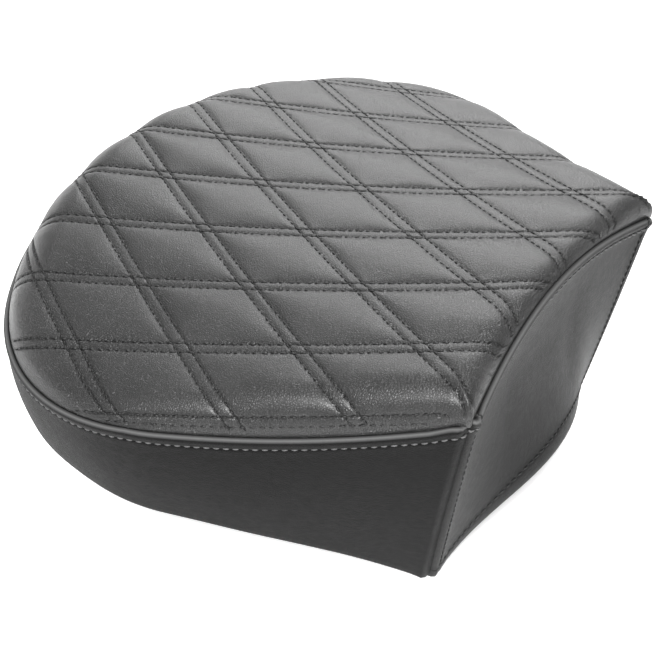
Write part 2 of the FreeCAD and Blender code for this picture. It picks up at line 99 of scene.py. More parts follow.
def paint(thing, name, values):
    """Stores a number for each vertex, for the material to read."""
    layer = thing.data.attributes.new(name, "FLOAT", "POINT")
    padded = np.zeros(len(thing.data.vertices), np.float32)
    padded[: len(values)] = values
    layer.data.foreach_set("value", padded)


def strip_faces(rows, columns, start=0, closed=False):
    """Quads between the rows of a grid, which may be joined round from end to start."""
    faces = []
    for row in range(rows - 1):
        for column in range(columns if closed else columns - 1):
            right = (column + 1) % columns
            low, high = start + row * columns, start + (row + 1) * columns
            faces.append((low + column, low + right, high + right, high + column))
    return faces


def band_faces(upper, lower):
    """Quads between two closed rings of vertices."""
    after_upper, after_lower = np.roll(upper, -1), np.roll(lower, -1)
    return list(zip(after_upper.tolist(), upper.tolist(), lower.tolist(), after_lower.tolist()))


def shell(name, surface, thickness, material):
    """A closed sheet: a grid of points, its copy moved outwards, and the edges between."""
    rows, columns, _ = surface.shape
    down = np.gradient(surface, axis=0)
    along = np.gradient(surface, axis=1)
    normal = np.cross(along, down)
    normal /= np.linalg.norm(normal, axis=2, keepdims=True) + 1e-9
    normal *= np.sign((normal * surface)[..., :2].sum())
    outer = surface + normal * thickness
    outer[..., 2] = np.maximum(outer[..., 2], 0.0)
    points = np.concatenate([outer.reshape(-1, 3), surface.reshape(-1, 3)])
    under = rows * columns
    faces = strip_faces(rows, columns)
    faces += [tuple(reversed(face)) for face in strip_faces(rows, columns, under)]
    edge = [(0, c) for c in range(columns)]
    edge += [(r, columns - 1) for r in range(1, rows)]
    edge += [(rows - 1, c) for c in reversed(range(columns - 1))]
    edge += [(r, 0) for r in reversed(range(1, rows - 1))]
    ring = [r * columns + c for r, c in edge]
    for here, there in zip(ring, ring[1:] + ring[:1]):
        faces.append((there, here, under + here, under + there))
    sheet = make_object(name, points, faces, material)
    # Painted highlight along the fold's crest, painted shade in the gaps at the panel's top and
    # ends.
    painted_highlight, dark = np.zeros((2, rows, columns))
    painted_highlight[HIGHLIGHT_ROWS] = 1
    dark[:SHADE_ROWS] = dark[:, :SHADE_COLUMNS] = dark[:, -SHADE_COLUMNS:] = 1
    paint(sheet, "painted_highlight", painted_highlight.ravel())
    paint(sheet, "stitch_lines_and_painted_shade", dark.ravel())
    return sheet


# ---- Curves and surfaces -----------------------------------------------------------------


def smooth_step(value):
    t = np.clip(value, 0.0, 1.0)
    return t * t * (3 - 2 * t)


def spread(points, count):
    """The same path with its points spread evenly."""
    steps = np.linalg.norm(np.diff(points, axis=0), axis=1)
    length = np.concatenate([[0.0], np.cumsum(steps)])
    where = np.linspace(0.0, length[-1], count)
    return np.stack([np.interp(where, length, column) for column in points.T], axis=1)


def path_length(points):
    return float(np.linalg.norm(np.diff(points, axis=0), axis=1).sum())


def saddle(x, y):
    ring = SADDLE_RING - np.sqrt(SADDLE_CROWN**2 - y**2)
    return SADDLE_Z - np.sqrt(ring**2 - (x - SADDLE_X) ** 2)


def fender(x, y, depth=0.0):
    """The height of the pad's underside, or of a surface some way above it."""
    out = (x - AXLE_X) ** 2
    drum = np.sqrt((FENDER_RADIUS + depth) ** 2 - out)
    tube = np.clip((CROWN_RADIUS + depth) ** 2 - y**2, 0.0, None)
    crown = np.where(tube > 0, CROWN_RING + np.sqrt(tube), 0.0)
    return AXLE_Z + np.maximum(drum, np.sqrt(np.clip(crown**2 - out, 0.0, None)))


def seam_height(x, y, front):
    """The height of the seam at the front edge, or along the sides and the rear."""
    run = x - QUILT_X
    z = 98.6 + 0.24 * run + 0.0004 * run**2
    across = np.abs(y) / CORNER_Y
    if front:
        return z + 18.4 * (1 - across**2) + 2.5 * across**6
    sag = 5.0 * np.sin(np.pi * np.clip((run - 5) / 130, 0, 1))
    lift = 2.5 * smooth_step((run - 126) / 16)
    tail = 5.0 * np.clip(1 - (y / 120) ** 2, 0, 1) * smooth_step(-run / 60)
    return z - sag + lift + tail


def side_plan():
    """The seam in plan, from the left front corner round the rear to the right one."""
    p, q = (CORNER_X - WIDEST_X) / REAR, CORNER_Y / WIDTH
    touch = math.atan2(q, p) + math.acos(1 / math.hypot(p, q))
    angles = np.linspace(touch, 2 * math.pi - touch, 400)
    round_rear = np.stack([WIDEST_X + REAR * np.cos(angles), WIDTH * np.sin(angles)], axis=1)
    corners = np.array([[[CORNER_X, CORNER_Y]], [[CORNER_X, -CORNER_Y]]])
    return np.concatenate([corners[0], round_rear, corners[1]])


def front_plan(y):
    """How far forward the front seam is: an arc, hollow in the middle."""
    return FRONT_X + (CORNER_X - FRONT_X) * (y / CORNER_Y) ** 2


def side_seam(count):
    plan = spread(side_plan(), count)
    return np.column_stack([plan, seam_height(plan[:, 0], plan[:, 1], front=False)])


def front_seam(count):
    y = np.linspace(-CORNER_Y, CORNER_Y, count)
    x = front_plan(y)
    return np.column_stack([x, y, seam_height(x, y, front=True)])


def whole_seam():
    side = side_seam(int(path_length(side_plan()) / SEAM_STEP))
    front = front_seam(int(2 * CORNER_Y / SEAM_STEP))
    return np.concatenate([side[:-1], front[:-1]])


def seam_rolls():
    """Along the seam: the width in plan of the top's rolled edge, and the cover's spare
    length, which is how much longer the cover is than its plan over that edge."""
    x, y = SEAM[:, 0], SEAM[:, 1]
    rear = smooth_step((-x - 20) / 110)
    front = smooth_step((x - 141) / 3) * (np.abs(y) < CORNER_Y - 1)
    corner = np.hypot(x - CORNER_X, np.abs(y) - CORNER_Y)
    ahead = smooth_step((x - 20) / 100) * (1 - front)
    roll = 15.0 + 8.0 * rear + 4.0 * front + 5.5 * ahead
    spare = (8.5 + 5.5 * rear - 1.5 * front + 6.5 * ahead) * smooth_step(corner / 18)
    return roll, spare


SEAM = whole_seam()
ROLL, SPARE = seam_rolls()
SEAM_DATA = np.column_stack([SEAM, ROLL, SPARE])


def nearest_on_seam(points):
    """The seam's data nearest to plan points, and the distances inwards and the way in."""
    loop = SEAM[:, :2]
    after = np.roll(SEAM_DATA, -1, axis=0)
    found = np.empty(len(points), int)
    for start in range(0, len(points), 4000):
        block = points[start : start + 4000]
        gaps = ((block[:, None, :] - loop[None]) ** 2).sum(axis=2)
        found[start : start + 4000] = gaps.argmin(axis=1)
    best = np.full(len(points), np.inf)
    data = np.zeros((len(points), SEAM_DATA.shape[1]))
    for index in (found, (found - 1) % len(loop)):
        line = (after - SEAM_DATA)[index]
        share = ((points - loop[index]) * line[:, :2]).sum(axis=1) / (line[:, :2] ** 2).sum(axis=1)
        spot = SEAM_DATA[index] + line * np.clip(share, 0, 1)[:, None]
        gap = np.linalg.norm(points - spot[:, :2], axis=1)
        nearer = gap < best
        best[nearer] = gap[nearer]
        data[nearer] = spot[nearer]
    gap = np.where(inside_outline(points), best, -best)
    inward = (points - data[:, :2]) / np.where(np.abs(gap) < 1e-6, 1.0, gap)[:, None]
    return data, gap, inward


def inside_outline(points):
    """Whether plan points lie inside the seam."""
    loop = SEAM[:, :2]
    after = np.roll(loop, -1, axis=0)
    inside = np.zeros(len(points), bool)
    for (ax, ay), (bx, by) in zip(loop, after):
        if ay == by:
            continue
        crosses = (points[:, 1] < ay) != (points[:, 1] < by)
        reach = ax + (points[:, 1] - ay) / (by - ay) * (bx - ax)
        inside ^= crosses & (points[:, 0] < reach)
    return inside


# ---- The quilted top ---------------------------------------------------------------------


def to_rows(x, y):
    """Row coordinates: whole numbers lie on the middle of a twin row of each family."""
    run = (x - QUILT_X) / DIAMOND_LENGTH
    return y / DIAMOND_WIDTH + run + ROW_A, -y / DIAMOND_WIDTH + run + ROW_B


def from_rows(a, b):
    x = QUILT_X + (a + b - (ROW_A + ROW_B)) * DIAMOND_LENGTH / 2
    return x, (a - b - (ROW_A - ROW_B)) * DIAMOND_WIDTH / 2


def cover_plan(a, b):
    """Where points of the cover lie while it is still flat."""
    return np.stack(from_rows(a, b), axis=1)


def from_row(value):
    """Distance from the middle of the nearest twin row."""
    return np.abs(value - np.round(value)) * ROW_PITCH


def cell_steps(distances):
    """Row coordinates across all the cells, packed near the rows by a list of distances."""
    half = np.array(distances) / ROW_PITCH
    cell = np.concatenate([half, [0.5], 1 - half[:0:-1]])
    return np.concatenate([n + cell for n in range(FIRST_ROW, LAST_ROW)])


def laid_over(a, b):
    """Where row coordinates of the cover come to lie: seam data, distance in, way in.

    Near the seam the cover turns down, so its rows come closer together in plan.
    """
    data, gap, inward = nearest_on_seam(cover_plan(a, b))
    roll, spare = data[:, 3], data[:, 4]
    total = roll + spare
    reach = gap + spare
    reach = np.maximum(reach, -OFF_EDGE)
    bent = (1 - 2 * spare / total) * reach + spare * (np.maximum(reach, 0) / total) ** 2
    return data, np.where(reach < total, np.maximum(bent, -OFF_EDGE), gap), inward


def bare_top(data, gap, inward):
    """The top before quilting, a plan distance in from the seam: points and normals."""
    x, y = (data[:, :2] + inward * gap[:, None]).T
    seam_z, roll = data[:, 2], data[:, 3]
    t = np.clip(gap / roll, 0, 1)
    bend = np.sqrt(np.clip(1 - (1 - t) ** 2, 0, 1))
    slope = np.clip((1 - t) / np.maximum(bend, 0.15), 0, 4.0) / roll
    crest = saddle(x, y)
    tilt_x = (saddle(x + 1, y) - crest) * bend + (crest - seam_z) * slope * inward[:, 0]
    tilt_y = (saddle(x, y + 1) - crest) * bend + (crest - seam_z) * slope * inward[:, 1]
    normal = np.stack([-tilt_x, -tilt_y, np.ones_like(x)], axis=1)
    normal /= np.linalg.norm(normal, axis=1, keepdims=True)
    return np.column_stack([x, y, seam_z + (crest - seam_z) * bend]), normal


def pillow(distance):
    """Rise of the padding from a stitch line to the middle of a diamond, from 0 to 1."""
    share = np.clip((distance - TWIN) / (ROW_PITCH / 2 - TWIN), 0, 1)
    return 1 - (1 - share) ** 2.4


SIM_STEPS = cell_steps((0, TWIN, 4.8, 7.2, 10.2, 13.8, 18.0))
FINE_STEPS = cell_steps(
    (0, 1.1, 2.0, 2.5, TWIN, 3.3, 3.9, 4.8, 6, 7.5, 9.2, 11, 13, 15.2, 17.6, 20),
)


def simulate_padding():
    """Blows the cover up between its stitch lines with a cloth simulation.

    Returns how far each point of the coarse grid of rows rises, in millimetres.
    """
    count = len(SIM_STEPS)
    a, b = np.meshgrid(SIM_STEPS, SIM_STEPS, indexing="ij")
    a, b = a.ravel(), b.ravel()
    data, gap, inward = laid_over(a, b)
    bare, normal = bare_top(data, gap, inward)
    held = (from_row(a) <= TWIN + 0.01) | (from_row(b) <= TWIN + 0.01) | (gap < 3.0)
    inside = gap > 0.5
    faces = [face for face in strip_faces(count, count) if inside[list(face)].all()]
    used = sorted({index for face in faces for index in face})
    place = {index: order for order, index in enumerate(used)}
    mesh = bpy.data.meshes.new("padding_cloth")
    rings = [tuple(place[index] for index in face) for face in faces]
    mesh.from_pydata((bare[used] * MM).tolist(), [], rings)
    if mesh.polygons[0].normal.z < 0:
        mesh.flip_normals()
    cloth = bpy.data.objects.new("padding_cloth", mesh)
    bpy.context.scene.collection.objects.link(cloth)
    pins = cloth.vertex_groups.new(name="stitch_lines_and_painted_shade")
    pins.add([order for order, index in enumerate(used) if held[index]], 1.0, "REPLACE")
    modifier = cloth.modifiers.new("cloth", "CLOTH")
    settings = modifier.settings
    settings.quality = 6
    settings.mass = 0.3
    settings.tension_stiffness = settings.compression_stiffness = 15
    settings.shear_stiffness = 5
    settings.bending_stiffness = 1.0
    settings.use_pressure = True
    settings.uniform_pressure_force = 6.0
    settings.shrink_min = settings.shrink_max = -0.03
    settings.vertex_group_mass = "stitch_lines_and_painted_shade"
    settings.effector_weights.gravity = 0
    modifier.collision_settings.use_collision = False
    for step in range(1, CLOTH_FRAMES + 1):
        bpy.context.scene.frame_set(step)
    evaluated = cloth.evaluated_get(bpy.context.evaluated_depsgraph_get())
    moved = np.empty(len(used) * 3)
    evaluated.data.vertices.foreach_get("co", moved)
    moved = moved.reshape(-1, 3) / MM
    rise = np.zeros(len(a))
    rise[used] = ((moved - bare[used]) * normal[used]).sum(axis=1)
    bpy.context.scene.frame_set(1)
    bpy.data.objects.remove(cloth)
    rise = np.clip(rise * PUFF_HEIGHT / np.percentile(rise[used], 98), 0.0, 1.25 * PUFF_HEIGHT)
    return eased_grid(rise.reshape(count, count))


def eased_grid(values):
    """A grid with its small wrinkles smoothed away."""
    for _ in range(EASINGS):
        for axis in (0, 1):
            values = (np.roll(values, 1, axis) + 2 * values + np.roll(values, -1, axis)) / 4
    return values


def cubic_weights(values):
    """For each value, four neighbouring grid steps and their cubic weights."""
    steps = SIM_STEPS
    index = np.clip(np.searchsorted(steps, values) - 1, 1, len(steps) - 3)
    before, low, high, after = (steps[index + k] for k in (-1, 0, 1, 2))
    width = high - low
    t = np.clip((values - low) / width, 0, 1)
    start = (t**3 - 2 * t**2 + t) * width / (high - before)
    end = (t**3 - t**2) * width / (after - low)
    rise = 3 * t**2 - 2 * t**3
    return index, np.stack([-start, 1 - rise - end, rise + start, end], axis=1)


def sampled(rise, a, b):
    """The simulated rise at any row coordinates."""
    row, row_weights = cubic_weights(a)
    column, column_weights = cubic_weights(b)
    total = np.zeros(len(a))
    for i in range(4):
        for j in range(4):
            value = rise[row + i - 1, column + j - 1]
            total += row_weights[:, i] * column_weights[:, j] * value
    return total


def padding_rise(a, b, simulated):
    """How far the padding stands proud of the bare top."""
    shaped = PUFF_HEIGHT * pillow(from_row(a)) * pillow(from_row(b))
    if simulated is None:
        return shaped
    held = smooth_step((np.minimum(from_row(a), from_row(b)) - TWIN) / 4)
    height = sampled(simulated, a, b) * held
    return (1 - CLOTH_SHARE) * shaped + CLOTH_SHARE * height


def quilted(a, b, data, gap, inward, simulated):
    """The quilted top: its points, and the normals of the bare top there."""
    bare, normal = bare_top(data, gap, inward)
    rise = padding_rise(a, b, simulated) * smooth_step((gap + 0.5) / 7)
    near = np.minimum(np.abs(from_row(a) - TWIN), np.abs(from_row(b) - TWIN))
    dip = GROOVE_DEPTH * np.exp(-((near / GROOVE_WIDTH) ** 2)) * smooth_step(gap / 1.5)
    return bare + normal * (rise - dip)[:, None], normal


def seam_ring(distance):
    """Seam data, distance and way in for a ring of points that follows the seam."""
    loop = SEAM[:, :2]
    gap = np.full(len(loop), distance)
    inward = -loop / np.linalg.norm(loop, axis=1, keepdims=True)
    spare = 1 - 2 * SPARE / (ROLL + SPARE)
    bend = SPARE / (ROLL + SPARE) ** 2
    reach = (np.sqrt(spare**2 + 4 * bend * distance) - spare) / (2 * np.maximum(bend, 1e-6))
    reach = np.where(bend > 1e-5, reach, distance)
    flat = loop + inward * (reach - SPARE)[:, None]
    return (*to_rows(flat[:, 0], flat[:, 1]), SEAM_DATA, gap, inward)


def plan_triangles(points, loop):
    """Triangles between plan points, inside a loop of the first points."""
    edges = [(k, (k + 1) % loop) for k in range(loop)]
    vertices = [Vector(p) for p in points]
    found = delaunay_2d_cdt(vertices, edges, [], 1, 1e-5)
    source = [ids[0] for ids in found[3]]
    return [tuple(source[k] for k in face) for face in found[2]]


# The closed underside of the top: rings drawn in from the seam and hung below it, then a
# floor this high over the fender, which uses one in so many of the top's own points.
MEAN_REACH = 147.0  # about how far the seam is from the middle
TUCKS = ((0.9, 2.0), (3.0, 7.0), (7.0, 14.0))
FLOOR_INSET, FLOOR_CLEAR, FLOOR_HEIGHT, FLOOR_SKIP = 10.0, 16, 12.0, 23
# The rings of points that follow the seam, and where the grid of the rows takes over.
SEAM_RINGS, GRID_START = (0.5, 1.15), 1.6


def inset_plan(distance):
    """The seam's plan drawn in towards the middle."""
    return SEAM[:, :2] * (1 - distance / MEAN_REACH)


def make_top(simulated, material):
    """The quilted cover with its padding and foam, as one closed piece."""
    loop = len(SEAM)
    a, b = (grid.ravel() for grid in np.meshgrid(FINE_STEPS, FINE_STEPS, indexing="ij"))
    flat = laid_over(a, b)
    kept = flat[1] > GRID_START
    a, b, flat = a[kept], b[kept], [part[kept] for part in flat]
    grid = quilted(a, b, *flat, simulated)[0]
    rings, flats = [SEAM], [cover_plan(*seam_ring(0.0)[:2])]
    for distance in SEAM_RINGS:
        ring = seam_ring(distance)
        placed = quilted(*ring, simulated)[0]
        sound = nearest_on_seam(placed[:, :2])[1] > distance / 2
        rings.append(placed[sound])
        flats.append(cover_plan(*ring[:2])[sound])
    points = np.concatenate([*rings, grid])
    faces = plan_triangles(np.concatenate([*flats, cover_plan(a, b)]), loop)
    layers = [points]
    last, total = np.arange(loop), len(points)
    for inset, drop in TUCKS:
        layers.append(np.column_stack([inset_plan(inset), SEAM[:, 2] - drop]))
        here = total + np.arange(loop)
        faces += band_faces(last, here)
        last, total = here, total + loop
    coarse = grid[::FLOOR_SKIP, :2]
    coarse = coarse[nearest_on_seam(coarse)[1] > FLOOR_CLEAR]
    plan = np.concatenate([inset_plan(FLOOR_INSET), coarse])
    layers.append(np.column_stack([plan, fender(plan[:, 0], plan[:, 1], FLOOR_HEIGHT)]))
    faces += band_faces(last, total + np.arange(loop))
    faces += [tuple(total + k for k in reversed(face)) for face in plan_triangles(plan, loop)]
    top = make_object("quilted_top", np.concatenate(layers), faces, material)
    # Painted shade: the vinyl darkens along the grooves of the stitch lines.
    near = np.minimum(np.abs(from_row(a) - TWIN), np.abs(from_row(b) - TWIN))
    dark = np.exp(-((near / (1.1 * GROOVE_WIDTH)) ** 2))
    lead = len(points) - len(grid)
    paint(top, "stitch_lines_and_painted_shade", np.concatenate([np.zeros(lead), dark]))
    return top


# ---- Side and front panels ---------------------------------------------------------------

# How far the side panel stands out from the seam half-way down and at its hem, by how far
# round it is: 0 at a front corner and 1 at the middle of the rear.
ROUND = (0.0, 0.12, 0.22, 0.34, 0.45, 0.62, 0.78, 1.0)
BELLY = (0.0, 0.5, 1.5, 0.5, -1.5, 2.0, 6.0, 8.0)
HEM = (-8.5, -5.0, -3.0, -5.0, -10.5, -5.0, -1.0, 1.0)
# The front panel's middle, by its share of the way down: how far forward it is.
FRONT_SHARE = (0.0, 0.1, 0.25, 0.4, 0.55, 0.7, 0.85, 1.0)
FRONT_MIDDLE = (FRONT_X, 142.6, 143.2, 146.0, 151.0, 157.0, 164.8, LIP_X)
# Its shallow valleys: how deep, how far across from the middle as a share, and how wide.
VALLEYS = ((1.6, -0.42, 0.16), (1.2, 0.35, 0.12))
CORNER_LOW = 86.5
SIDE_GAP, CORNER_GAP = 2.2, 2.4
SQUARE_REACH = 45  # how far from a front corner the side panel takes to follow its seam
TOPSTITCH, CORNER_STITCH, HEM_STITCH = 5.5, 4.2, 9.0
# The grids of the two panels: the widest step between columns, and how many rows go from
# the groove under the lip down to the hem, with both ends counted.
SIDE_STEP, SIDE_ROWS = 1.7, 24
FRONT_STEP, FRONT_ROWS = 1.6, 34
# Across a panel's edge, pairs of distance from the seam and of how far it stands out: its
# fold at a front corner, and the rolled lip just under the top.
FOLD = ((0.0, -3.6), (0.5, -3.2), (0.9, -2.0), (1.3, -0.1), (2.1, 0.7))
LIP = (
    (0.8, -1.0),
    (0.1, -0.3),
    (-0.3, 0.35),
    (-0.15, 0.95),
    (0.45, 1.35),
    (1.4, 1.35),
    (2.4, 1.0),
)
# Across a groove, pairs of distance from its stitches and of how far it stands out. Both
# grooves are deepest at the same step.
GROOVE_LOW = 3
STITCH_GROOVE = (
    (-1.2, 0.45),
    (-0.6, 0.2),
    (-0.25, -0.45),
    (0.0, -0.6),
    (0.25, -0.45),
    (0.6, 0.05),
    (1.4, 0.25),
)
HEM_GROOVE = (
    (1.2, 0.1),
    (0.6, 0),
    (0.25, -0.4),
    (0.0, -0.55),
    (-0.25, -0.4),
    (-0.7, 0.2),
    (-1.6, 0.35),
)
# The hems. The side's is rounded by these angles and then follows the fender inwards as a
# flange; the front's turns under by pairs of height above its edge and of how far it
# stands out, and then by distance inwards.
HEM_ROUND, HEM_ANGLES, FLANGE = 4.0, (25, 50, 75, 90), 19.0
HEM_CLEAR = 2.0  # how far above its stitches the front's even rows stop
HEM_FOLD = ((5.0, 0.3), (2.8, 0.2), (1.5, 0.0), (0.7, -0.4), (0.2, -1.0), (0.0, -2.0))
HEM_UNDER = (6.0, 10.0, 14.0, 19.0)
# Where the front's stitches stop, in steps of its grid: short of the hem, and of its ends.
UPRIGHT_STOP, HEM_STOP = 12, 8
# The steps in which a table is read, and how many of them its corners are rounded over.
TABLE_STEPS, TABLE_BLUR = 401, 61


def smooth_table(where, stations, values):
    """A table read with rounded corners."""
    fine = np.linspace(0, 1, TABLE_STEPS)
    raw = np.interp(fine, stations, values)
    kernel = np.hanning(TABLE_BLUR)
    half = TABLE_BLUR // 2
    padded = np.concatenate([raw[half:0:-1], raw, raw[-2 : -2 - half : -1]])
    eased = np.convolve(padded, kernel / kernel.sum(), mode="valid")
    eased += (raw[0] - eased[0]) * np.exp(-fine / 0.04)
    eased += (raw[-1] - eased[-1]) * np.exp((fine - 1) / 0.04)
    return np.interp(where, fine, eased)


def edge_profile(stitch, fold=FOLD):
    """A folded edge and then a stitched groove: pairs of distance and standing out."""
    groove = [(stitch + step, out) for step, out in STITCH_GROOVE]
    return [*fold, *groove, (stitch + 3.0, 0.15), (stitch + 6.0, 0.0)]


def edge_rise(distance, stitch):
    """How far a panel stands out at a distance from one of its upright edges."""
    steps, out = zip(*edge_profile(stitch))
    return np.interp(distance, steps, out)


def upright_columns(length, step, stitch):
    """Places along a panel, close together near the two upright edges."""
    near = np.array([distance for distance, _ in edge_profile(stitch)])
    middle = np.linspace(near[-1], length - near[-1], int(length / step))
    return np.concatenate([near[:-1], middle, (length - near[:-1])[::-1]])


def outward_of(seam):
    along = np.gradient(seam[:, :2], axis=0)
    outward = np.stack([along[:, 1], -along[:, 0]], axis=1)
    return outward / np.linalg.norm(outward, axis=1, keepdims=True)


def side_frame():
    """The side panel's seam, outward directions and places from 0 at a corner to 1."""
    plan = side_plan()
    length = path_length(plan)
    where = SIDE_GAP + upright_columns(length - 2 * SIDE_GAP, SIDE_STEP, TOPSTITCH)
    steps = np.linalg.norm(np.diff(plan, axis=0), axis=1)
    run = np.concatenate([[0.0], np.cumsum(steps)])
    x, y = (np.interp(where, run, column) for column in plan.T)
    seam = np.column_stack([x, y, seam_height(x, y, front=False)])
    outward = outward_of(side_seam(len(where)))
    even = np.linspace(0, length, len(where))
    outward = np.stack([np.interp(where, even, column) for column in outward.T], axis=1)
    from_corner = np.minimum(where, length - where) - SIDE_GAP
    square = np.stack([np.zeros_like(y), np.sign(y)], axis=1)
    turn = smooth_step(from_corner / SQUARE_REACH)[:, None]
    outward = outward * turn + square * (1 - turn)
    around = 1 - np.abs(2 * where / length - 1)
    return seam, outward, around, from_corner


def side_surface():
    """The side panel, from the seam down to its hem and turned under: a grid of points."""
    seam, outward, around, from_corner = side_frame()
    belly = smooth_table(around, ROUND, BELLY)
    hem = smooth_table(around, ROUND, HEM)
    fold = np.interp(from_corner, *zip(*FOLD, (4.5, 0.3), (9.0, 0.0)))

    def plan(share, out=0.0):
        down = np.maximum(share, 0.0)
        wide = belly * np.sin(np.pi * down**0.85) + hem * down**2 + fold + out
        return seam[:, :2] + outward * np.broadcast_to(wide, fold.shape)[:, None]

    low = plan(1.0)
    height = seam[:, 2] - fender(low[:, 0], low[:, 1])
    rows = []
    edge = edge_profile(TOPSTITCH, LIP)
    for down, out in edge:
        rows.append(np.column_stack([plan(down / height, out), seam[:, 2] - down]))
    first = edge[-1][0] / height
    last = 1 - HEM_ROUND / height
    for step in np.linspace(0, 1, SIDE_ROWS)[1:]:
        share = first + (last - first) * step
        rows.append(np.column_stack([plan(share), seam[:, 2] - share * height]))
    for angle in np.radians(HEM_ANGLES):
        under = low - outward * HEM_ROUND * (1 - math.cos(angle))
        lift = HEM_ROUND * (1 - math.sin(angle))
        rows.append(np.column_stack([under, fender(under[:, 0], under[:, 1]) + lift]))
    for inset in np.linspace(HEM_ROUND, FLANGE, 6)[1:]:
        under = low - outward * inset
        rows.append(np.column_stack([under, fender(under[:, 0], under[:, 1])]))
    return np.array(rows)


def front_surface():
    """The front panel, from the seam down to the lip and turned under."""
    width = 2 * CORNER_Y
    where = upright_columns(width, FRONT_STEP, CORNER_STITCH)
    u = where / CORNER_Y - 1
    y_top = where - CORNER_Y
    from_corner = np.minimum(where, width - where)
    top_z = seam_height(front_plan(y_top), y_top, front=True)
    lip_y = u * CORNER_LOW
    peak = (1 - u**2) ** 1.6
    lip_x = CORNER_X + (LIP_X - CORNER_X) * peak
    height = top_z - fender(lip_x, lip_y)
    strip = edge_rise(from_corner, CORNER_STITCH)

    def plan(share, out=0.0):
        share = np.broadcast_to(share, u.shape)
        middle = smooth_table(share, FRONT_SHARE, FRONT_MIDDLE)
        fullness = (1 - u**2) ** (1 + 0.6 * share)
        valley = 0.0
        for depth, across, wide in VALLEYS:
            valley += depth * np.exp(-(((u - across) / wide) ** 2)) * np.sin(np.pi * share) ** 2
        x = CORNER_X + (middle - CORNER_X) * fullness - valley + strip + out
        y = u * (CORNER_Y - CORNER_GAP - (CORNER_Y - CORNER_LOW) * share**2)
        return np.column_stack([x, y])

    rows = []
    edge = edge_profile(CORNER_STITCH, LIP)
    for down, out in edge:
        rows.append(np.column_stack([plan(down / height, out), top_z - down]))
    first = edge[-1][0] / height
    last = 1 - (HEM_STITCH + HEM_CLEAR) / height
    for step in np.linspace(0, 1, FRONT_ROWS)[1:]:
        share = first + (last - first) * step
        rows.append(np.column_stack([plan(share), top_z - share * height]))
    for up, out in HEM_GROOVE:
        share = 1 - (HEM_STITCH + up) / height
        rows.append(np.column_stack([plan(share, out), top_z - share * height]))
    for up, out in HEM_FOLD:
        share = 1 - up / height
        rows.append(np.column_stack([plan(share, out), top_z - share * height]))
    for inset in HEM_UNDER:
        under = plan(1.0, -inset)
        rows.append(np.column_stack([under, fender(under[:, 0], under[:, 1])]))
    return np.array(rows)


# ---- Thread ------------------------------------------------------------------------------


def stitches_along(points, normals, pitch, length):
    """Start, middle, end and normal of each stitch along a path."""
    steps = np.linalg.norm(np.diff(points, axis=0), axis=1)
    run = np.concatenate([[0.0], np.cumsum(steps)])

    def at(where, values):
        return np.stack([np.interp(where, run, column) for column in values.T], axis=1)

    starts = np.arange(0.6, run[-1] - length, pitch)
    ends = starts + length
    middles = (starts + ends) / 2
    return at(starts, points), at(middles, points), at(ends, points), at(middles, normals)


# A stitch's form: the share of its length, how far it lifts, and its share of the radius.
STITCH_SIDES = 6
STITCH_FORM = (
    (0.0, -0.55, 0.45),
    (0.15, 0.0, 0.85),
    (0.5, 0.22, 1.0),
    (0.85, 0.0, 0.85),
    (1.0, -0.55, 0.45),
)


def thread_object(name, runs, material):
    """Short plump stitches whose ends dip into the cover."""
    starts, middles, ends, normals = (np.concatenate(part) for part in zip(*runs))
    normals = normals / np.linalg.norm(normals, axis=1, keepdims=True)
    ahead = ends - starts
    ahead /= np.linalg.norm(ahead, axis=1, keepdims=True)
    side = np.cross(normals, ahead)
    side /= np.linalg.norm(side, axis=1, keepdims=True)
    points = []
    for share, lift, size in STITCH_FORM:
        if share <= 0.5:
            centre = starts + (middles - starts) * share * 2
        else:
            centre = middles + (ends - middles) * (share * 2 - 1)
        centre = centre + normals * lift
        for k in range(STITCH_SIDES):
            angle = 2 * math.pi * k / STITCH_SIDES
            ring = side * math.cos(angle) + normals * math.sin(angle)
            points.append(centre + ring * THREAD_RADIUS * size)
    points = np.stack(points, axis=1)
    each = points.shape[1]
    pattern = strip_faces(len(STITCH_FORM), STITCH_SIDES, closed=True)
    pattern += [tuple(reversed(range(STITCH_SIDES))), tuple(range(each - STITCH_SIDES, each))]
    faces = []
    for base in range(0, len(points) * each, each):
        faces += [tuple(base + k for k in face) for face in pattern]
    return make_object(name, points.reshape(-1, 3), faces, material)


def quilt_runs(simulated):
    """Every line of stitches across the top."""
    runs = []
    along = np.arange(FIRST_ROW, LAST_ROW, 1.0 / ROW_PITCH)
    for family in (0, 1):
        for row in range(FIRST_ROW, LAST_ROW + 1):
            for offset in (-TWIN, TWIN):
                fixed = np.full_like(along, row + offset / ROW_PITCH)
                a, b = (fixed, along) if family == 0 else (along, fixed)
                flat = laid_over(a, b)
                kept = flat[1] > 0.5
                if kept.sum() < SHORTEST_RUN:
                    continue
                flat = [part[kept] for part in flat]
                points, normals = quilted(a[kept], b[kept], *flat, simulated)
                points = points + normals * THREAD_PROUD
                runs.append(stitches_along(points, normals, STITCH_PITCH, STITCH_LENGTH))
    return runs


def panel_run(surface, row, proud=0.4):
    """Stitches along one row of a panel's grid, standing a little proud of its groove."""
    line = surface[row, 2:-2]
    down = (surface[row + 2] - surface[row - 2])[2:-2]
    normal = np.cross(np.gradient(line, axis=0), down)
    normal /= np.linalg.norm(normal, axis=1, keepdims=True)
    normal *= np.sign((normal * line * [1, 1, 0]).sum())
    return stitches_along(line + normal * (COVER + proud), normal, STITCH_PITCH, STITCH_LENGTH)


# ---- Materials ---------------------------------------------------------------------------


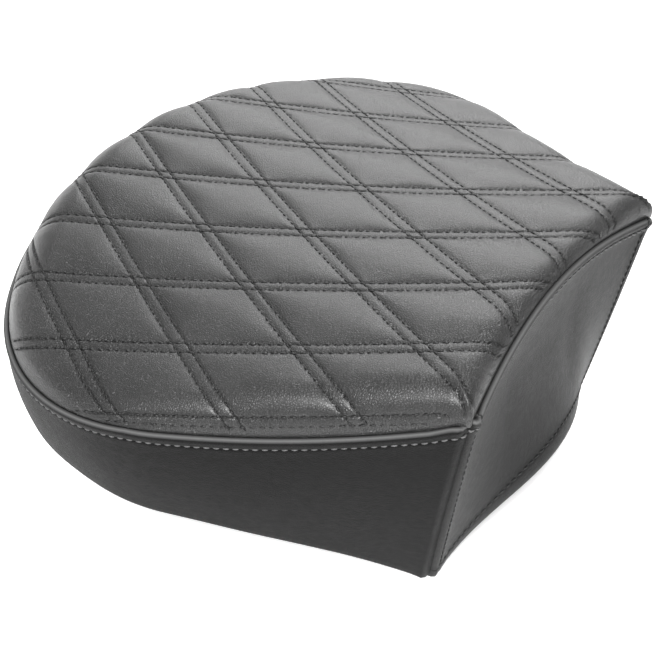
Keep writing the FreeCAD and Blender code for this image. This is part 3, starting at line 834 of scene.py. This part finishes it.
class Recipe:
    """A short way to write a node material."""

    def __init__(self, name, **values):
        self.material = bpy.data.materials.new(name)
        self.material.use_nodes = True
        self.tree = self.material.node_tree
        self.shader = self.tree.nodes["Principled BSDF"]
        for key, value in values.items():
            self.shader.inputs[key].default_value = value
        self.where = self.add("ShaderNodeTexCoord").outputs["Object"]

    def add(self, kind, inputs=None, **settings):
        node = self.tree.nodes.new(kind)
        for key, value in settings.items():
            setattr(node, key, value)
        for key, value in (inputs or {}).items():
            if isinstance(value, bpy.types.NodeSocket):
                self.tree.links.new(value, node.inputs[key])
            else:
                node.inputs[key].default_value = value
        return node

    def noise(self, size, detail=3.0, roughness=0.55):
        """Noise whose blobs are about a size in millimetres across."""
        inputs = {
            "Vector": self.where,
            "Scale": 1.0 / (size * MM),
            "Detail": detail,
            "Roughness": roughness,
        }
        return self.add("ShaderNodeTexNoise", inputs).outputs["Fac"]

    def cells(self, size, feature="SMOOTH_F1", where=None):
        inputs = {"Vector": where or self.where, "Scale": 1.0 / (size * MM)}
        node = self.add("ShaderNodeTexVoronoi", inputs, feature=feature)
        return node.outputs["Distance"]

    def sum(self, first, second, share):
        """first times share, plus second."""
        inputs = {0: first, 1: share, 2: second}
        return self.add("ShaderNodeMath", inputs, operation="MULTIPLY_ADD").outputs[0]

    def ramp(self, factor, *stops):
        node = self.add("ShaderNodeValToRGB", {"Fac": factor})
        band = node.color_ramp
        for place, value in stops[1:-1]:
            band.elements.new(place)
        for element, (place, value) in zip(band.elements, stops):
            element.position = place
            colour = value if isinstance(value, tuple) else (value, value, value)
            element.color = (*colour, 1.0)
        return node.outputs["Color"]

    def tint(self, colour, attribute, value):
        """The colour turned to a grey where a vertex attribute is 1."""
        where = self.add("ShaderNodeAttribute", attribute_name=attribute).outputs["Fac"]
        mixed = self.add("ShaderNodeMix", data_type="RGBA")
        self.tree.links.new(where, mixed.inputs["Factor"])
        self.tree.links.new(colour, mixed.inputs[6])
        mixed.inputs[7].default_value = (value, value, value, 1)
        return mixed.outputs[2]

    def bump(self, height, depth, strength=1.0, after=None):
        inputs = {"Height": height, "Distance": depth * MM, "Strength": strength}
        if after is not None:
            inputs["Normal"] = after
        return self.add("ShaderNodeBump", inputs).outputs["Normal"]

    def set(self, key, value):
        self.tree.links.new(value, self.shader.inputs[key])


# Greys of the painted shade at stitches and seams, and of the painted highlight on folds.
PAINTED_SHADE_GREY, HIGHLIGHT_GREY = 0.003, 0.11


def vinyl(name, dark, light, roughness, grain_depth, coat, specular):
    """Grained vinyl: pebbles, fine creases, painted shade on stitch lines, painted highlight on
    folds.
    """
    gloss = {"Specular IOR Level": specular, "Coat Weight": coat, "Coat Roughness": 0.34}
    recipe = Recipe(name, **gloss)
    swirl = recipe.add("ShaderNodeTexNoise", {"Vector": recipe.where, "Scale": 420.0})
    warp = recipe.add("ShaderNodeVectorMath", {0: swirl.outputs["Color"]}, operation="SCALE")
    warp.inputs["Scale"].default_value = 0.0009
    bent = recipe.add("ShaderNodeVectorMath", {0: recipe.where, 1: warp.outputs[0]}, operation="ADD")
    pebbles = recipe.cells(1.15, "DISTANCE_TO_EDGE", bent.outputs[0])
    pebbles = recipe.ramp(pebbles, (0.0, 0.0), (0.12, 0.75), (0.4, 1.0))
    creases = recipe.noise(4.2, 5.0, 0.66)
    pores = recipe.noise(0.35, 2.0)
    patches = recipe.noise(38.0, 4.0)
    height = recipe.sum(pores, pebbles, 0.25)
    fine = recipe.bump(height, grain_depth)
    recipe.set("Normal", recipe.bump(creases, 0.35, 0.8, fine))
    tone = recipe.sum(pebbles, patches, 0.25)
    colour = recipe.ramp(tone, (0.3, dark), (0.85, light))
    # Painted shade at stitch lines and seam gaps, then a painted highlight on folded edges.
    colour = recipe.tint(colour, "stitch_lines_and_painted_shade", PAINTED_SHADE_GREY)
    recipe.set("Base Color", recipe.tint(colour, "painted_highlight", HIGHLIGHT_GREY))
    shine = recipe.sum(patches, creases, 0.6)
    recipe.set("Roughness", recipe.ramp(shine, (0.4, roughness - 0.05), (1.0, roughness + 0.07)))
    return recipe.material


def thread_material(name, dark, light):
    recipe = Recipe(name, **{"Specular IOR Level": 0.4})
    strands = recipe.noise(0.4, 2.0)
    recipe.set("Base Color", recipe.ramp(strands, (0.3, dark), (0.8, light)))
    recipe.set("Roughness", recipe.ramp(strands, (0.3, 0.34), (0.8, 0.5)))
    recipe.set("Normal", recipe.bump(strands, 0.12))
    return recipe.material


def felt_material():
    dry = {"Roughness": 0.95, "Specular IOR Level": 0.15, "Sheen Weight": 0.35}
    recipe = Recipe("needled_felt", **dry)
    fibres = recipe.noise(0.9, 8.0, 0.75)
    clumps = recipe.noise(9.0, 4.0)
    tone = recipe.sum(fibres, clumps, 0.6)
    recipe.set("Base Color", recipe.ramp(tone, (0.45, 0.03), (1.1, 0.14)))
    recipe.set("Normal", recipe.bump(fibres, 0.6))
    return recipe.material


def plastic_material():
    recipe = Recipe("moulded_plastic", **{"Specular IOR Level": 0.45})
    spark = recipe.cells(0.8)
    haze = recipe.noise(25.0, 4.0)
    recipe.set("Base Color", recipe.ramp(haze, (0.3, 0.018), (0.7, 0.034)))
    recipe.set("Roughness", recipe.ramp(haze, (0.3, 0.48), (0.7, 0.6)))
    recipe.set("Normal", recipe.bump(spark, 0.08))
    return recipe.material


def coated_material():
    gloss = {"Specular IOR Level": 0.5, "Coat Weight": 0.3, "Coat Roughness": 0.25}
    recipe = Recipe("powder_coat", **gloss)
    peel = recipe.noise(1.6, 2.0)
    wear = recipe.noise(14.0, 6.0, 0.65)
    recipe.set("Base Color", recipe.ramp(wear, (0.3, 0.012), (0.72, 0.028), (0.8, 0.06)))
    recipe.set("Roughness", recipe.ramp(wear, (0.3, 0.3), (0.7, 0.45)))
    recipe.set("Normal", recipe.bump(peel, 0.07))
    return recipe.material


def metal_material(name, dark, light, roughness):
    recipe = Recipe(name, **{"Metallic": 1.0})
    spangle = recipe.cells(3.5)
    smears = recipe.noise(6.0, 5.0)
    recipe.set("Base Color", recipe.ramp(spangle, (0.0, dark), (0.8, light)))
    recipe.set("Roughness", recipe.ramp(smears, (0.3, roughness - 0.08), (0.7, roughness + 0.1)))
    recipe.set("Normal", recipe.bump(smears, 0.04))
    return recipe.material


def rubber_material():
    recipe = Recipe("moulded_rubber", **{"Specular IOR Level": 0.35})
    bloom = recipe.noise(5.0, 5.0)
    grit = recipe.noise(0.5, 2.0)
    recipe.set("Base Color", recipe.ramp(bloom, (0.3, 0.012), (0.75, 0.035)))
    recipe.set("Roughness", recipe.ramp(bloom, (0.3, 0.7), (0.7, 0.85)))
    recipe.set("Normal", recipe.bump(grit, 0.08))
    return recipe.material


# ---- Camera, floor and light -------------------------------------------------------------

PAD_MIDDLE = (0.0, 0.0, 0.1)  # in metres, as the lights' places and sizes are


def make_camera():
    forward = Vector((-0.34667, 0.59136, -0.72808)).normalized()
    right = Vector((0.80094, 0.59061, 0.09834)).normalized()
    up = right.cross(forward)
    camera = bpy.data.objects.new("camera", bpy.data.cameras.new("camera"))
    camera.data.lens = 60.0
    camera.data.sensor_width = 36.0
    turn = Matrix((right, up, -forward)).transposed().to_4x4()
    camera.matrix_world = Matrix.Translation(Vector((251.83, -394.49, 518.83)) * MM) @ turn
    bpy.context.scene.collection.objects.link(camera)
    bpy.context.scene.camera = camera


def area_light(name, place, size, power):
    """A softbox that points at the middle of the pad."""
    lamp = bpy.data.lights.new(name, "AREA")
    lamp.shape = "RECTANGLE"
    lamp.size, lamp.size_y = size
    lamp.energy = power
    thing = bpy.data.objects.new(name, lamp)
    thing.location = place
    thing.rotation_euler = (Vector(PAD_MIDDLE) - Vector(place)).to_track_quat("-Z", "Y").to_euler()
    bpy.context.scene.collection.objects.link(thing)


def make_studio():
    recipe = Recipe("pale_floor", **{"Roughness": 0.9, "Specular IOR Level": 0.1})
    tone = recipe.noise(300.0)
    recipe.set("Base Color", recipe.ramp(tone, (0.3, 0.86), (0.7, 0.88)))
    recipe.shader.inputs["Emission Color"].default_value = (1, 1, 1, 1)
    recipe.shader.inputs["Emission Strength"].default_value = 0.5
    bpy.ops.mesh.primitive_plane_add(size=12.0, location=(0, 0, 0))
    floor = bpy.context.object
    floor.name = "floor"
    floor.data.materials.append(recipe.material)
    world = bpy.data.worlds.new("studio")
    world.use_nodes = True
    world.node_tree.nodes["Background"].inputs["Color"].default_value = (1, 1, 1, 1)
    world.node_tree.nodes["Background"].inputs["Strength"].default_value = 0.18
    bpy.context.scene.world = world
    bpy.context.scene.view_settings.view_transform = "Standard"
    area_light("rear_softbox", (-0.95, 1.35, 0.85), (1.3, 0.9), 23.0)
    area_light("top_softbox", (0.1, -0.25, 1.7), (0.6, 0.5), 9.0)
    area_light("front_softbox", (1.3, -0.75, 0.3), (0.4, 0.35), 4.5)
    area_light("near_softbox", (0.3, -0.9, 1.5), (0.4, 0.4), 42.0)


# ---- Assembly ----------------------------------------------------------------------------


def main():
    simulated = simulate_padding()
    quilted_look = {"roughness": 0.36, "grain_depth": 0.3, "coat": 0.3, "specular": 0.5}
    side_look = {"roughness": 0.52, "grain_depth": 0.1, "coat": 0.0, "specular": 0.1}
    front_look = {"roughness": 0.45, "grain_depth": 0.1, "coat": 0.0, "specular": 0.17}
    top_vinyl = vinyl("quilted_vinyl", dark=0.014, light=0.028, **quilted_look)
    # The side and front panels are the top's charcoal vinyl, made darker as painted shade.
    side_vinyl = vinyl("side_vinyl", dark=0.002, light=0.004, **side_look)
    front_vinyl = vinyl("front_vinyl", dark=0.007, light=0.012, **front_look)
    thread = thread_material("thread_black", 0.003, 0.012)
    # Seam thread: the same black thread, made paler as a painted highlight for its glints.
    glint_thread = thread_material("thread_painted_glint", 0.05, 0.16)

    top = make_top(simulated, top_vinyl)
    side_grid = side_surface()
    side = shell("side_boxing", side_grid, COVER, side_vinyl)
    front_grid = front_surface()
    front = shell("front_panel", front_grid, COVER, front_vinyl)

    quilt_thread = thread_object("quilt_thread", quilt_runs(simulated), thread)
    groove, upright_groove = len(LIP) + GROOVE_LOW, len(FOLD) + GROOVE_LOW
    hem = len(front_grid) - len(HEM_UNDER) - len(HEM_FOLD) - len(HEM_GROOVE) + GROOVE_LOW
    upright = front_grid.transpose(1, 0, 2)[:, :-UPRIGHT_STOP]
    runs = [panel_run(side_grid, groove), panel_run(front_grid, groove, 1.3)]
    seam_thread = thread_object("seam_thread", runs, glint_thread)
    runs = [panel_run(way, upright_groove, 1.0) for way in (upright, upright[::-1])]
    runs.append(panel_run(front_grid[:, HEM_STOP:-HEM_STOP], hem, 0.6))
    hem_thread = thread_object("hem_thread", runs, thread)

    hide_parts("top_cover", "quilt_padding", "foam_cushion")
    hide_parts("side_cover")
    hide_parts("front_cover")
    for piece, slot in (
        (top, "quilted_vinyl"),
        (side, "side_vinyl"),
        (front, "front_vinyl"),
        (quilt_thread, "thread"),
        (seam_thread, "thread"),
        (hem_thread, "thread"),
    ):
        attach(piece, "root")

    zinc = metal_material("zinc_plate", (0.38, 0.38, 0.37), (0.66, 0.66, 0.63), 0.34)
    wire = metal_material("galvanised_wire", (0.42, 0.42, 0.43), (0.7, 0.7, 0.71), 0.3)
    coat = coated_material()
    finishes = {
        "base_pan": plastic_material(),
        "pan_liner": felt_material(),
        "rear_bracket": coat,
        "front_bracket": coat,
        "rear_rivets": zinc,
        "rear_rivet_washers": zinc,
        "front_bracket_bolts": zinc,
        "front_bracket_washers": zinc,
        "front_tee_nuts": zinc,
        "front_staples": wire,
        "side_staples": wire,
    }
    rubber = rubber_material()
    for name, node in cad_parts.items():
        finish = rubber if name.startswith("bumper") else finishes.get(name)
        if finish is not None:
            node.data.materials.clear()
            node.data.materials.append(finish)
    make_camera()
    make_studio()


main()
